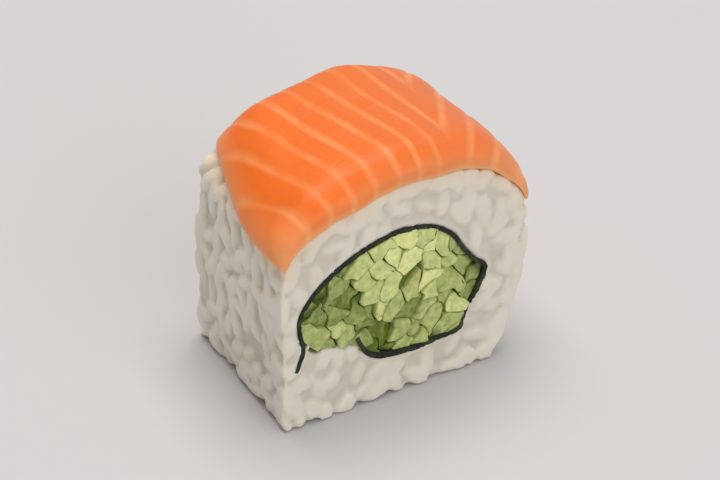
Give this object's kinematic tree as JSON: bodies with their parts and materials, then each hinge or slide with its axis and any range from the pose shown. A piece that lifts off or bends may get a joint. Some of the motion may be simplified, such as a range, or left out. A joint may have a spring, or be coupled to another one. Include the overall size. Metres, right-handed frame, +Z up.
{
  "type": "salmon sushi roll piece",
  "caption": "Slice of an inside-out sushi roll: a ring of pressed rice round a strip of nori and cucumber shreds, with raw salmon draped over the top.",
  "frame": {"origin": "middle of the bounding box's floor, on the flat underside of the rice", "axes": "+Z up, +Y along the roll's length from the front cut to the back cut, +X across the roll to the right as seen from the front"},
  "size_m": [0.0422, 0.0236, 0.0308],
  "materials": {
    "rice": "moist cooked short-grain rice, pressed, off-white, slightly translucent",
    "nori": "thin dried seaweed, softened by the rice, green-black",
    "cucumber": "wet cut cucumber, pale yellow-green flesh with dark green skin",
    "salmon": "moist raw salmon, orange with pale fat lines, soft sheen"
  },
  "bodies": {
    "root": {"rice": "rice", "nori": "nori", "cucumber_filling": "cucumber", "salmon_slice": "salmon"}
  },
  "joints": []
}
